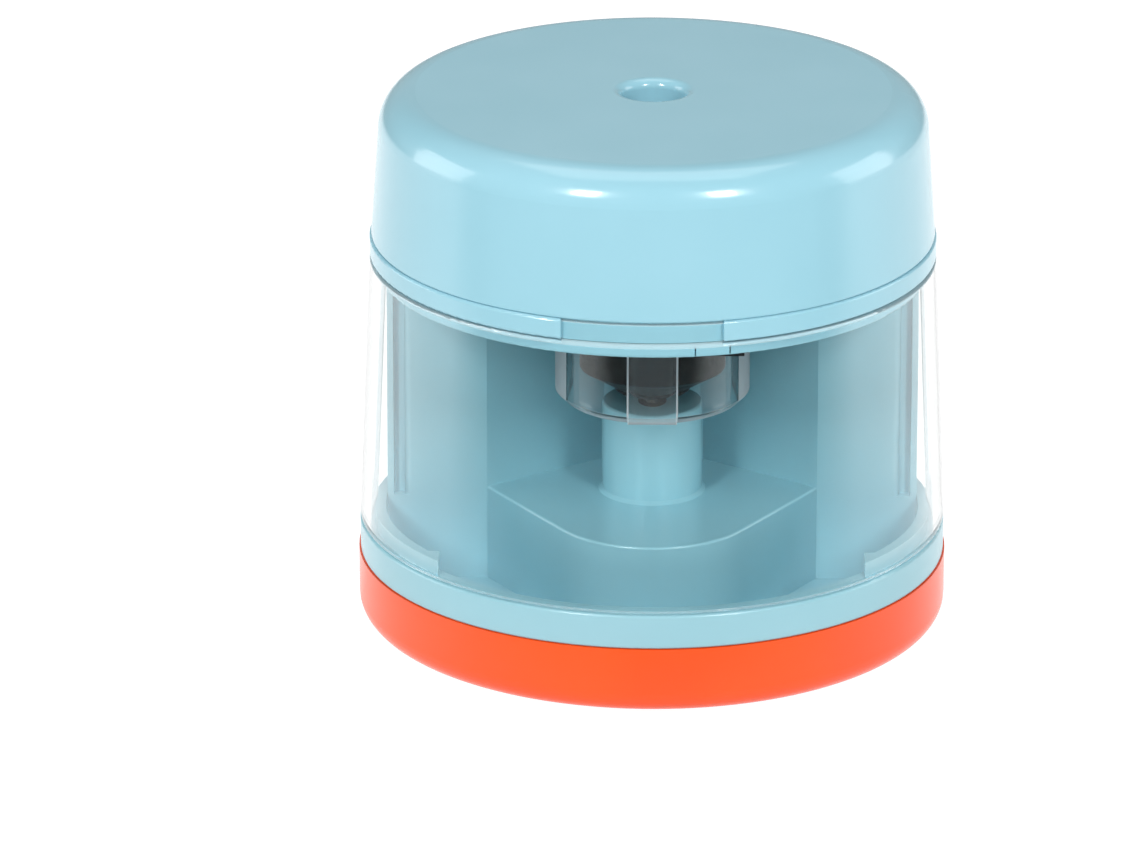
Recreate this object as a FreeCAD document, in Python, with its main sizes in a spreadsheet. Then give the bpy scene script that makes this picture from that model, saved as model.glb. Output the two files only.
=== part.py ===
import FreeCAD, Part
import math
import os
import re
import Sketcher

# Battery pencil sharpener: a drum 80 mm across with a clear pull-off cover round the shavings bin.
# Frame: X to the right, the clear cover faces -Y, Z up, origin under the middle of the feet.

doc = FreeCAD.newDocument("PencilSharpener")
sheet = doc.addObject("Spreadsheet::Sheet", "sizes")

sizes = {
    # outer drum, from the feet up
    "footDrop": 0.6, "footRadius": 4.5, "footSink": 1.0,
    "baseRadius": 40.0, "baseTop": 10.0, "baseEdge": 3.0, "baseWall": 2.2, "baseFloor": 2.4,
    "ringHeight": 4.7, "ringInset": 0.2, "coverHeight": 37.4, "neckHeight": 2.8, "neckInset": 1.8,
    "capHeight": 19.8, "capInset": 2.0, "capTaper": 1.4, "capEdge": 5.0, "capWall": 2.2, "capRoof": 2.4,
    "edgeRound": 0.35,
    # pencil hole
    "holeRadius": 4.3, "holeLip": 1.2, "guideWall": 2.0, "guideGap": 0.8,
    # clear cover and the finger recesses behind it
    "coverWall": 1.4, "coverGap": 0.2, "coverWrap": 96.0, "rearStart": 112.0,
    # shavings bin and the body wall behind it
    "binInset": 2.6, "binWall": 1.4, "binFloor": 1.4, "binDrop": 3.3, "curbInset": 2.4, "curbWall": 1.3,
    "curbHeight": 2.1, "curbNotch": 28.0, "curbFoot": 3.8, "curbWide": 5.5,
    "wallInset": 3.8, "wallThick": 1.6, "panelThick": 2.0, "grooveWidth": 1.5, "grooveDepth": 1.3,
    "bayEdge": 22.5, "valleyHalf": 7.0, "valleyDepth": 11.0,
    "platformTop": 18.0, "webThick": 1.6, "noseRadius": 14.0, "noseBack": 8.9,
    "columnRadius": 6.8, "columnTop": 31.0, "columnFlare": 0.5, "panelRound": 1.0,
    # deck between the bin and the cap
    "spigotInset": 1.9, "spigotWall": 1.8, "spigotDrop": 2.4, "deckThick": 1.8, "deckDrop": 0.4,
    "deckHole": 10.6, "rimHeight": 3.0, "rimInset": 2.8, "rimWall": 1.8,
    # cutter, its guard and its shaft
    "cutterRadius": 9.9, "cutterBottom": 32.7, "hubRadius": 5.2, "hubHeight": 0.6, "cutterCone": 3.0,
    "cutterTop": 61.0, "socketTip": 40.0, "tipRadius": 0.55, "mouthRadius": 4.4, "flatDepth": 0.35,
    "bladeWidth": 8.0, "bladeLength": 20.3, "bladeThick": 0.7,
    "guardGap": 1.7, "guardWall": 1.6, "guardBottom": 31.6, "guardBack": 4.25, "guardBevel": 1.2,
    "guardPad": 3.3, "padDepth": 0.5,
    "shaftRadius": 1.5, "runningGap": 0.05, "bushRadius": 3.0, "bushLength": 7.0,
    # gear train: two steps of a small pinion and a large wheel, in line along Y
    "gearModule": 0.5, "wheelTeeth": 40, "pinionTeeth": 10, "pinionShift": 0.4, "backlash": 0.06,
    "outputBottom": 9.4, "gearThick": 2.4, "gearGap": 0.4, "pressTravel": 0.8, "axleRadius": 1.0,
    "platePitch": 9.6, "plateHalf": 11.8, "plateFront": 11.5, "plateBack": 30.0, "plateThick": 2.2,
    "plateBottom": 3.3, "flangeRadius": 4.6, "cupRadius": 2.0,
    # motor
    "motorRadius": 10.05, "motorHalf": 7.55, "motorBottom": 18.2, "motorLength": 23.0, "endCap": 2.0,
    "motorSkin": 0.8, "motorShaft": 1.0, "partitionGap": 0.85, "partitionThick": 1.2, "clampThick": 1.2,
    # two AA cells standing on the battery door
    "cellRadius": 7.25, "cellLength": 50.5, "cellNub": 1.2, "cellSide": 0.65, "cellBack": 17.5,
    "cellBottom": 4.6, "cellGap": 0.35,
    "doorHalf": 28.5, "doorFront": 8.0, "doorGap": 0.25, "tongue": 1.1,
    # screws
    "screwRadius": 0.95, "screwHead": 2.0, "headHeight": 1.4, "holeGap": 0.25, "bossRadius": 2.5,
    "bossInset": 9.0, "bossBack": 5.0, "noseBoss": 16.0,
    # cover switch button
    "buttonLeft": 5.6, "buttonRight": 9.9, "buttonHeight": 1.5, "buttonLength": 4.6, "buttonGap": 0.15,
    # tab at the cover's top edge, let into the neck
    "tabLeft": 12.0, "tabRight": 9.3, "tabThick": 0.8, "tabGap": 0.15,
    # sizes that follow from others
    "guardRadius": "=cutterRadius + guardGap + guardWall",
    "cellAcross": "=motorRadius + partitionGap + partitionThick + cellSide + cellRadius",
}


def fillSheet():
    for row, (name, size) in enumerate(sizes.items(), 1):
        sheet.set(f"A{row}", name)
        sheet.set(f"B{row}", str(size))
        sheet.setAlias(f"B{row}", name)
    doc.recompute()


def linked(expression):
    # every size's name is read from the sheet
    return re.sub(r"[a-zA-Z]+", lambda word: f"sizes.{word[0]}" if word[0] in sizes else word[0], expression)


def value(expression):
    return float(sheet.evalExpression(linked(expression).replace("sizes.", "")))


def bind(item, field, expression):
    item.setExpression(field, linked(expression))


# levels and radii that several pieces share
baseBottom = "footDrop"
floorTop = "(footDrop + baseFloor)"
ringTop = "(baseTop + ringHeight)"
neckBottom = "(baseTop + ringHeight + coverHeight)"
neckTop = f"({neckBottom} + neckHeight)"
capTop = f"({neckTop} + capHeight)"
spigotBottom = f"({neckBottom} - spigotDrop)"
deckBottom = f"({neckBottom} - deckDrop)"
deckTop = f"({deckBottom} + deckThick)"
ringRadius = "(baseRadius - ringInset)"
neckRadius = "(baseRadius - neckInset)"
spigotRadius = f"({neckRadius} - spigotInset)"
wallRadius = "(baseRadius - wallInset)"
binRadius = "(baseRadius - binInset)"
curbRadius = "(baseRadius - curbInset)"
rimRadius = f"({neckRadius} - rimInset)"
webBottom = "(platformTop - webThick)"
centres = "(gearModule * (wheelTeeth + pinionTeeth) / 2)"
motorBack = f"(2 * {centres})"
wheelTop = "(outputBottom + gearThick)"
idlerBottom = f"({wheelTop} + gearGap)"
idlerTop = f"({idlerBottom} + gearThick)"
idlerFoot = "(outputBottom - pressTravel - 0.4)"
plateTop = "(plateBottom + plateThick)"
cupTop = "(outputBottom - 0.2)"
cellTop = "(cellBottom + cellLength)"
motorTop = "(motorBottom + motorLength + endCap)"
socketAngle = "atan((mouthRadius - tipRadius) / (cutterTop - 1 - socketTip))"


def place(item, x="0", y="0", z="0"):
    bind(item, "Placement.Base.x", x)
    bind(item, "Placement.Base.y", y)
    bind(item, "Placement.Base.z", z)
    return item


def outlineBody(name, plane, points):
    # a body whose closed outline has one bound position for each corner
    body = doc.addObject("PartDesign::Body", name)
    sketch = body.newObject("Sketcher::SketchObject", name + "Outline")
    origin = [feature for feature in body.Origin.OriginFeatures if feature.Role == plane][0]
    sketch.AttachmentSupport = [(origin, "")]
    sketch.MapMode = "FlatFace"
    corners = [FreeCAD.Vector(value(across), value(up), 0) for across, up in points]
    for number, corner in enumerate(corners):
        following = corners[(number + 1) % len(corners)]
        sketch.addGeometry(Part.LineSegment(corner, following), False)
    for number, corner in enumerate(corners):
        sketch.addConstraint(Sketcher.Constraint("Coincident", number, 2, (number + 1) % len(corners), 1))
        for kind, size, text in zip(("DistanceX", "DistanceY"), corner, points[number]):
            index = sketch.addConstraint(Sketcher.Constraint(kind, -1, 1, number, 1, size))
            bind(sketch, f"Constraints[{index}]", text)
    return body, sketch


def turned(name, points):
    # points are (radius, height) pairs, turned once round Z
    body, sketch = outlineBody(name, "XZ_Plane", points)
    turn = body.newObject("PartDesign::Revolution", name + "Turn")
    turn.Profile = sketch
    turn.ReferenceAxis = (sketch, ["V_Axis"])
    turn.Angle = 360
    doc.recompute()
    return body


def raised(name, points, bottom, top):
    # points are (x, y) pairs, padded from one level to another
    body, sketch = outlineBody(name, "XY_Plane", points)
    pad = body.newObject("PartDesign::Pad", name + "Pad")
    pad.Profile = sketch
    bind(pad, "Length", f"{top} - ({bottom})")
    bind(body, "Placement.Base.z", bottom)
    doc.recompute()
    return body


def roundedRims(body, radius, *rims):
    # rims are (radius, height) pairs of the circles to round
    edges = []
    for number, edge in enumerate(body.Shape.Edges, 1):
        middle = edge.valueAt((edge.FirstParameter + edge.LastParameter) / 2)
        for across, up in rims:
            if abs(math.hypot(middle.x, middle.y) - value(across)) < 0.02 and abs(middle.z - value(up)) < 0.02:
                if edge.Curve.TypeId == "Part::GeomCircle":
                    edges.append(f"Edge{number}")
    turn = body.Tip
    fillet = body.newObject("PartDesign::Fillet", body.Name + "Round")
    fillet.Base = (turn, edges)
    bind(fillet, "Radius", radius)
    body.Tip = fillet
    doc.recompute()
    return body


def roundedEdges(name, base, radius, level):
    # rounds the edges in front of the Y = 0 plane that lie at one level
    doc.recompute()
    item = doc.addObject("Part::Fillet", name)
    item.Base = base
    item.Edges = [(number, value(radius), value(radius)) for number, edge in enumerate(base.Shape.Edges, 1)
                  if max(abs(corner.Z - value(level)) for corner in edge.Vertexes) < 0.001
                  and edge.BoundBox.YMin < -0.5 and edge.BoundBox.ZLength < 0.001]
    return item


def cylinder(name, radius, bottom, top, x="0", y="0"):
    item = doc.addObject("Part::Cylinder", name)
    bind(item, "Radius", radius)
    bind(item, "Height", f"{top} - ({bottom})")
    return place(item, x, y, bottom)


def box(name, left, right, front, back, bottom, top):
    item = doc.addObject("Part::Box", name)
    bind(item, "Length", f"{right} - ({left})")
    bind(item, "Width", f"{back} - ({front})")
    bind(item, "Height", f"{top} - ({bottom})")
    return place(item, left, front, bottom)


def fused(name, *items):
    item = doc.addObject("Part::MultiFuse", name)
    item.Shapes = list(items)
    return item


def shared(name, *items):
    item = doc.addObject("Part::MultiCommon", name)
    item.Shapes = list(items)
    return item


def cut(name, base, *tools):
    item = doc.addObject("Part::Cut", name)
    item.Base = base
    item.Tool = tools[0] if len(tools) == 1 else fused(name + "Tools", *tools)
    return item


def group(name, items):
    item = doc.addObject("Part::Compound", name)
    item.Links = list(items)
    return item


nodes = []


def node(item, label):
    item.Label = label
    nodes.append(item)
    return item


def mirroredPairs(x, y):
    return [(x, y), (f"-({x})", y)]


def sector(name, halfAngle, bottom, top, toBack):
    # a wedge about the Y axis, wide enough to cross the whole drum
    side = "" if toBack else "-"
    reach = "(2 * baseRadius)"
    points = [("0", "0"),
              (f"{reach} * sin({halfAngle})", f"{side}{reach} * cos({halfAngle})"),
              (f"{reach}", f"{side}{reach} * 1.5"),
              (f"-{reach}", f"{side}{reach} * 1.5"),
              (f"-{reach} * sin({halfAngle})", f"{side}{reach} * cos({halfAngle})")]
    return raised(name, points, bottom, top)


# screw places, shared by the bosses, the holes and the screws
sideBosses = mirroredPairs("baseRadius - bossInset", "bossBack")
baseScrewPlaces = sideBosses + [("0", "-noseBoss")]
deckScrewPlaces = sideBosses + mirroredPairs("9.6", f"{spigotRadius} - 4.3")
plateScrewPlaces = mirroredPairs("platePitch", "-9") + mirroredPairs("platePitch", "plateBack - 1.7")
clampScrewPlaces = mirroredPairs("motorRadius + 3.15", f"{motorBack} + 4.5")
cellPlaces = mirroredPairs("cellAcross", "cellBack")


def drilled(name, places, radius, bottom, top):
    return [cylinder(f"{name}{number}", radius, bottom, top, x, y) for number, (x, y) in enumerate(places)]


def screws(label, places, headBottom, tip, headUp):
    # pan-head screws with a cross recess, heads above or below the shank
    turn = 1 if headUp else -1
    pieces = []
    for number, (x, y) in enumerate(places):
        name = f"{label}{number}"
        headTop = f"({headBottom} + {turn} * headHeight)"
        low, high = (headBottom, headTop) if headUp else (headTop, headBottom)
        head = cylinder(name + "Head", "screwHead", low, high, x, y)
        shankLow, shankHigh = (tip, headBottom) if headUp else (headBottom, tip)
        shank = cylinder(name + "Shank", "screwRadius", shankLow, shankHigh, x, y)
        recessLow = f"({headTop} - 0.7)" if headUp else f"({headTop} - 0.1)"
        recessHigh = f"({headTop} + 0.1)" if headUp else f"({headTop} + 0.7)"
        long = box(name + "SlotX", f"{x} - 1.2", f"{x} + 1.2", f"{y} - 0.25", f"{y} + 0.25", recessLow, recessHigh)
        wide = box(name + "SlotY", f"{x} - 0.25", f"{x} + 0.25", f"{y} - 1.2", f"{y} + 1.2", recessLow, recessHigh)
        pieces.append(cut(name, fused(name + "Whole", head, shank), long, wide))
    return node(group(label, pieces), label)


def coilSpring(name, radius, wire, bottom, top, turns, x="0", y="0"):
    # round wire along a helix whose ends stay inside the spring's two levels
    low = value(bottom) + wire
    rise = value(top) - wire - low
    helix = Part.makeHelix(rise / turns, rise, radius)
    section = Part.Wire([Part.makeCircle(wire, FreeCAD.Vector(radius, 0, 0), FreeCAD.Vector(0, 1, 0))])
    coil = Part.Wire(helix.Edges).makePipeShell([section], True, True)
    spring = doc.addObject("Part::Feature", name)
    spring.Shape = coil
    spring.Placement = FreeCAD.Placement(FreeCAD.Vector(value(x), value(y), low), FreeCAD.Rotation())
    return spring


# --- base, feet and battery door ---

def baseShell(name):
    body = turned(name, [("0", baseBottom), ("baseRadius", baseBottom), ("baseRadius", "baseTop"),
                         ("baseRadius - baseWall", "baseTop"), ("baseRadius - baseWall", floorTop),
                         ("0", floorTop)])
    return roundedRims(body, "baseEdge", ("baseRadius", baseBottom))


def footPlaces(back):
    return mirroredPairs("16", "25") if back else mirroredPairs("23", "-19")


def feet(label, back):
    pads = drilled(label + "Pad", footPlaces(back), "footRadius", "0", "footDrop + footSink")
    return node(group(label, pads), label)


def footSeats(name, back):
    return drilled(name, footPlaces(back), "footRadius", "0", "footDrop + footSink")


def doorBlock(name, gap):
    reach = "2 * baseRadius"
    return box(name, f"-doorHalf + {gap}", f"doorHalf - {gap}", f"doorFront + {gap}", reach, "0", "baseTop + 1")


def makeBase():
    opening = doorBlock("baseOpening", "0")
    groove = box("baseGroove", "-doorHalf - tongue - 0.2", "doorHalf + tongue + 0.2", "doorFront", "baseRadius",
                 f"{baseBottom} + 0.75", f"{baseBottom} + 1.85")
    holes = drilled("baseHole", baseScrewPlaces, "screwRadius + holeGap", "0", f"{floorTop} + 1")
    sinks = drilled("baseSink", baseScrewPlaces, "screwHead + holeGap", "0", f"{floorTop} - 0.8")
    whole = baseShell("baseShell")
    base = cut("base", whole, opening, groove, *holes, *sinks, *footSeats("baseSeat", False))
    return node(base, "base")


def makeDoor():
    segment = shared("doorSegment", baseShell("doorShell"), doorBlock("doorOutline", "doorGap"))
    lid = box("doorTrim", "-doorHalf", "doorHalf", "doorFront", "2 * baseRadius", "baseTop - 0.2", "baseTop + 1")
    tongues = box("doorTongue", "-doorHalf - tongue", "doorHalf + tongue", "doorFront + 1.5", "doorFront + 13.5",
                  f"{baseBottom} + 0.9", f"{baseBottom} + 1.7")
    grips = []
    for number in range(4):
        back = f"(baseRadius - 9.2 + {number} * 1.6)"
        grips.append(box(f"doorGrip{number}", "-6", "6", back, f"({back} + 0.8)", "0", f"{baseBottom} + 0.5"))
    door = cut("door", fused("doorWhole", segment, tongues), lid, *grips, *footSeats("doorSeat", True))
    return node(door, "battery_door")


def makeDoorContacts():
    pieces = []
    for number, (x, y) in enumerate(cellPlaces):
        pieces.append(box(f"doorPlate{number}", f"{x} - 5", f"{x} + 5", f"{y} - 5", f"{y} + 5",
                          floorTop, f"{floorTop} + 0.25"))
        spring = coilSpring(f"doorSpring{number}", 3.2, 0.2, f"{floorTop} + 0.25", "cellBottom - 0.1", 2, x, y)
        pieces.append(spring)
    return node(group("doorContacts", pieces), "door_contacts")


# --- body: ring, shavings bin, platform, column and battery tower ---

def noseSide(radius, x):
    # corner angle of the straight side that leaves the nose circle and meets the bay's front edge
    reach = "sqrt(bayEdge ^ 2 + noseBack ^ 2)"
    angle = f"(atan(noseBack / bayEdge) - acos(noseRadius / {reach}))"
    return (f"{x}{radius} * cos({angle})", f"-noseBack + {radius} * sin({angle})")


def platformOutline(inset, name, bottom, top):
    radius = f"(noseRadius - {inset})"
    corner = f"(bayEdge - 1.05 * {inset})"
    back = "0.1" if inset == "0" else "(panelThick + 0.1)"
    wedge = raised(name + "Wedge", [noseSide(radius, "-"), noseSide(radius, ""), (corner, "0"), (corner, back),
                                    (f"-{corner}", back), (f"-{corner}", "0")], bottom, top)
    nose = cylinder(name + "Nose", radius, bottom, top, "0", "-noseBack")
    return fused(name, wedge, nose)


def towerOutline(name, radius, wall, front, bottom, top, valley):
    # everything behind the panels, less the V-shaped valley behind the cutter
    reach = "(2 * baseRadius)"
    points = [(f"-{reach}", front)]
    if valley:
        points += [(f"-bayEdge - 0.1 * {wall}", front), (f"-valleyHalf - 0.4 * {wall}", f"valleyDepth + {wall}"),
                   (f"valleyHalf + 0.4 * {wall}", f"valleyDepth + {wall}"), (f"bayEdge + 0.1 * {wall}", front)]
    points += [(reach, front), (reach, reach), (f"-{reach}", reach)]
    half = raised(name + "Half", points, bottom, top)
    return shared(name, half, cylinder(name + "Drum", radius, bottom, top))


def makeBinRing():
    profile = [("0", "binDrop"), (binRadius, "binDrop"), (binRadius, "baseTop"), (ringRadius, "baseTop"),
               (ringRadius, ringTop), (curbRadius, ringTop), (curbRadius, f"{ringTop} + curbHeight"),
               (f"{curbRadius} - curbWall", f"{ringTop} + curbHeight"),
               (f"{binRadius} - binWall", f"{ringTop} - 0.6"), (f"{binRadius} - binWall", "binDrop + binFloor"),
               ("0", "binDrop + binFloor")]
    ring = turned("binRing", profile)
    rims = [(ringRadius, ringTop), (ringRadius, "baseTop")]
    return roundedRims(ring, "edgeRound", *rims)


def makeCurbFeet():
    # the curb turns inward at both ends of its front notch
    feet = []
    reach = f"sqrt(({curbRadius}) ^ 2 - curbNotch ^ 2)"
    for number, side in enumerate(("", "-")):
        block = box(f"curbFoot{number}", "curbNotch" if side == "" else "-curbNotch - curbWide",
                    "curbNotch + curbWide" if side == "" else "-curbNotch",
                    f"-{reach}", f"-{reach} + curbFoot", f"{ringTop} - 1.5", f"{ringTop} + curbHeight")
        feet.append(block)
    limit = cylinder("curbFootLimit", curbRadius, "baseTop", f"{ringTop} + curbHeight")
    return [shared("curbFeet", fused("curbFootRow", *feet), limit)]


def makeBody():
    curbCut = box("curbCut", "-curbNotch", "curbNotch", "-2 * baseRadius", "0", ringTop, f"{ringTop} + 9")
    ring = cut("bodyRing", makeBinRing(), curbCut)
    platform = roundedEdges("platformRounded", platformOutline("0", "platform", "binDrop", "platformTop"),
                            "edgeRound", "platformTop")
    footing = towerOutline("footing", wallRadius, "0", "0", "binDrop", "platformTop", False)
    tower = towerOutline("tower", wallRadius, "0", "0", "binDrop", spigotBottom, True)
    skinProfile = [(f"{wallRadius} - 0.8", "baseTop"), (ringRadius, "baseTop"), (ringRadius, ringTop),
                   (neckRadius, f"{neckBottom} - coverGap"), (f"{wallRadius} - 0.8", f"{neckBottom} - coverGap")]
    skin = shared("rearSkin", turned("rearSkinDrum", skinProfile),
                  sector("rearSector", "180 - rearStart", "baseTop", neckTop, True))
    column = turned("column", [("0", webBottom), ("columnRadius + columnFlare", webBottom),
                               ("columnRadius + columnFlare", "platformTop"),
                               ("columnRadius", "platformTop + columnFlare"), ("columnRadius", "columnTop"),
                               ("0", "columnTop")])
    column = roundedRims(column, "edgeRound", ("columnRadius", "columnTop"))
    outer = fused("bodyOuter", ring, platform, footing, tower, skin, column, *makeCurbFeet())

    below = "binDrop - 1"
    lowNose = platformOutline("wallThick", "lowNose", below, webBottom)
    innerRadius = f"({wallRadius} - wallThick)"
    lowHalf = towerOutline("lowHalf", innerRadius, "0", "panelThick", below, webBottom, False)
    high = towerOutline("highTower", innerRadius, "wallThick", "panelThick", "platformTop",
                        f"{spigotBottom} + 9", True)
    doorWay = box("doorWay", "-doorHalf - 0.5", "doorHalf + 0.5", "doorFront", "baseRadius", below, "baseTop")
    deckSeat = cylinder("deckSeat", f"{spigotRadius} + 0.1", spigotBottom, f"{neckTop} + 1")
    grooves = []
    for number, side in enumerate(("", "-")):
        left = f"{wallRadius} - 0.9 - grooveWidth" if side == "" else f"-{wallRadius} + 0.9"
        right = f"{wallRadius} - 0.9" if side == "" else f"-{wallRadius} + 0.9 + grooveWidth"
        grooves.append(box(f"bodyGroove{number}", left, right, "-1", "grooveDepth",
                           f"{ringTop} + curbHeight", f"{spigotBottom} + 1"))
    corners = []
    beads = []
    for number, side in enumerate(("", "-")):
        edge = f"({wallRadius} - 0.9 - grooveWidth)"
        left = f"{edge} - panelRound" if side == "" else f"-{edge} - 0.1"
        right = f"{edge} + 0.1" if side == "" else f"-{edge} + panelRound"
        corners.append(box(f"panelCorner{number}", left, right, "-1", "panelRound",
                           f"{ringTop} + curbHeight", f"{spigotBottom} + 1"))
        beads.append(cylinder(f"panelBead{number}", "panelRound", ringTop, spigotBottom,
                              f"{side}({edge} - panelRound)", "panelRound"))
    hollow = fused("bodyShell", cut("bodyHollow", outer, lowNose, lowHalf, high, doorWay, deckSeat, *grooves,
                                    *corners), *beads)

    partitionIn = "(motorRadius + partitionGap)"
    walls = []
    for number, side in enumerate(("", "-")):
        left = partitionIn if side == "" else f"-{partitionIn} - partitionThick"
        right = f"{partitionIn} + partitionThick" if side == "" else f"-{partitionIn}"
        walls.append(box(f"partition{number}", left, right, "valleyDepth + 1", f"{wallRadius} - 3.5",
                         webBottom, motorTop))
    bosses = drilled("sideBoss", sideBosses, "bossRadius", floorTop, spigotBottom)
    bosses += drilled("deckBoss", deckScrewPlaces[2:], "2.2", webBottom, spigotBottom)
    bosses += drilled("noseBoss", baseScrewPlaces[2:], "bossRadius - 0.1", floorTop, "platformTop - 0.5")
    bosses += drilled("plateBoss", plateScrewPlaces, "2.0", plateTop, "platformTop - 0.5")
    bosses += drilled("clampBoss", clampScrewPlaces, "2.3", webBottom, motorTop)
    bosses.append(cylinder("idlerBoss", "2.2", f"{idlerTop} + 0.2", "platformTop - 0.5", "0", centres))
    solid = fused("bodySolid", hollow, *walls, *bosses)

    holes = drilled("cellWay", cellPlaces, "cellRadius + cellGap", below, f"{spigotBottom} + 1")
    holes.append(motorOutline("motorWay", "-holeGap", "platformTop", f"{spigotBottom} + 1"))
    holes.append(cylinder("pinionWay", "3.8", below, "motorBottom", "0", motorBack))
    holes.append(cylinder("shaftWay", "shaftRadius + 0.6", f"{webBottom} - 1", "columnTop + 1"))
    holes.append(cylinder("bushSeat", "bushRadius", "columnTop - bushLength", "columnTop + 1"))
    holes.append(cylinder("axleSeatTop", "axleRadius", f"{idlerTop}", "platformTop - 0.8", "0", centres))
    holes += drilled("basePilot", baseScrewPlaces, "screwRadius", "0", "11.5")
    holes += drilled("deckPilot", deckScrewPlaces, "screwRadius", f"{spigotBottom} - 6.5", f"{spigotBottom} + 1")
    holes += drilled("platePilot", plateScrewPlaces, "screwRadius", "0", "10.5")
    holes += drilled("clampPilot", clampScrewPlaces, "screwRadius", f"{motorTop} - 6", f"{motorTop} + 1")
    return node(cut("lowerBody", solid, *holes), "lower_body")


def makeClearCover():
    bottom = f"({ringTop} + coverGap)"
    top = f"({neckBottom} - coverGap)"
    profile = [(f"{ringRadius} - coverWall", bottom), (ringRadius, bottom), (neckRadius, top),
               (f"{neckRadius} - coverWall", top)]
    drum = roundedRims(turned("coverDrum", profile), "edgeRound", (ringRadius, bottom), (neckRadius, top))
    rear = sector("coverRear", "180 - coverWrap", f"{bottom} - 1", f"{top} + 1", True)
    foot = f"({top} - 0.6)"
    tip = f"({neckTop} - tabGap)"
    band = turned("coverTabBand", [(f"{neckRadius} - tabThick", foot), (neckRadius, foot), (neckRadius, tip),
                                   (f"{neckRadius} - tabThick", tip)])
    block = box("coverTabBlock", "-tabLeft + tabGap", "tabRight - tabGap", "-2 * baseRadius", "-baseRadius / 2",
                f"{foot} - 1", f"{tip} + 1")
    return node(fused("clearCover", cut("coverOpen", drum, rear), shared("coverTab", band, block)), "clear_cover")


# --- deck, cap and cover switch ---

def makeDeck():
    rimTop = f"({neckTop} + rimHeight)"
    profile = [("deckHole", deckBottom), (f"{spigotRadius} - spigotWall", deckBottom),
               (f"{spigotRadius} - spigotWall", spigotBottom), (spigotRadius, spigotBottom),
               (spigotRadius, neckBottom), (neckRadius, neckBottom), (neckRadius, neckTop), (rimRadius, neckTop),
               (rimRadius, rimTop), (f"{rimRadius} - rimWall", rimTop), (f"{rimRadius} - rimWall", deckTop),
               ("deckHole", deckTop)]
    plate = turned("deckPlate", profile)
    plate = roundedRims(plate, "edgeRound", (neckRadius, neckBottom), (neckRadius, neckTop),
                        (spigotRadius, spigotBottom))
    holes = drilled("deckCell", cellPlaces, "cellRadius + cellGap", f"{spigotBottom} - 1", f"{rimTop} + 1")
    holes += drilled("deckHoleFor", deckScrewPlaces, "screwRadius + holeGap", f"{spigotBottom} - 1", f"{deckTop} + 1")
    slot = box("buttonSlot", "buttonLeft - buttonGap", "buttonRight + buttonGap", f"-{spigotRadius} - 1",
               f"-{spigotRadius} + 3.6", f"{deckBottom} - buttonHeight - 2 * buttonGap", deckBottom)
    holes += drilled("deckHeadWay", deckScrewPlaces, "screwHead + holeGap", deckTop, f"{rimTop} + 1")
    recess = cut("neckRecess", box("neckRecessBlock", "-tabLeft", "tabRight", "-2 * baseRadius", "-baseRadius / 2",
                                   f"{neckBottom} - 1", f"{neckTop} + 1"),
                 cylinder("neckRecessCore", f"{neckRadius} - tabThick - tabGap", f"{neckBottom} - 2", f"{neckTop} + 2"))
    posts = shared("deckPosts", fused("deckPostRow", *drilled("deckPost", deckScrewPlaces, "2.2", spigotBottom,
                                                              deckTop)),
                   cylinder("deckPostLimit", spigotRadius, spigotBottom, deckTop))
    return node(cut("upperDeck", fused("deckWhole", plate, posts), slot, recess, *holes), "upper_deck")


def makeCap():
    lowRadius = "(baseRadius - capInset)"
    highRadius = "(baseRadius - capInset - capTaper)"
    guideRadius = "(holeRadius + guideWall)"
    guideBottom = "(cutterTop + guideGap)"
    roofBottom = f"({capTop} - capRoof)"
    profile = [("holeRadius", guideBottom), (guideRadius, guideBottom), (guideRadius, roofBottom),
               (f"{highRadius} - capWall", roofBottom), (f"{lowRadius} - capWall", neckTop), (lowRadius, neckTop),
               (highRadius, capTop), ("holeRadius", capTop)]
    cap = turned("capDrum", profile)
    cap = roundedRims(cap, "capEdge", (highRadius, capTop))
    cap = roundedRims(cap, "holeLip", ("holeRadius", capTop))
    return node(roundedRims(cap, "edgeRound", (lowRadius, neckTop)), "top_cap")


def makeButton():
    faceRadius = f"({neckRadius} - coverWall - 0.12)"
    top = f"({deckBottom} - buttonGap)"
    block = box("buttonBlock", "buttonLeft", "buttonRight", f"-{neckRadius}", f"-{spigotRadius} + buttonLength",
                f"{top} - buttonHeight", top)
    return node(shared("button", block, cylinder("buttonFace", faceRadius, "0", capTop)), "interlock_button")


def makeSwitch():
    front = f"(-{spigotRadius} + buttonLength + 0.3)"
    case = box("switchCase", "buttonLeft - 2", "buttonRight + 2", front, f"({front} + 6.5)",
               f"{deckBottom} - 3.4", deckBottom)
    pieces = [case]
    for number in range(3):
        left = f"(buttonLeft - 0.6 + {number} * 2.6)"
        pieces.append(box(f"switchPin{number}", left, f"({left} + 0.5)", f"({front} + 6.5)", f"({front} + 9)",
                          f"{deckBottom} - 2.2", f"{deckBottom} - 1.6"))
    return node(fused("coverSwitch", *pieces), "cover_switch")


# --- cutter ---

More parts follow.
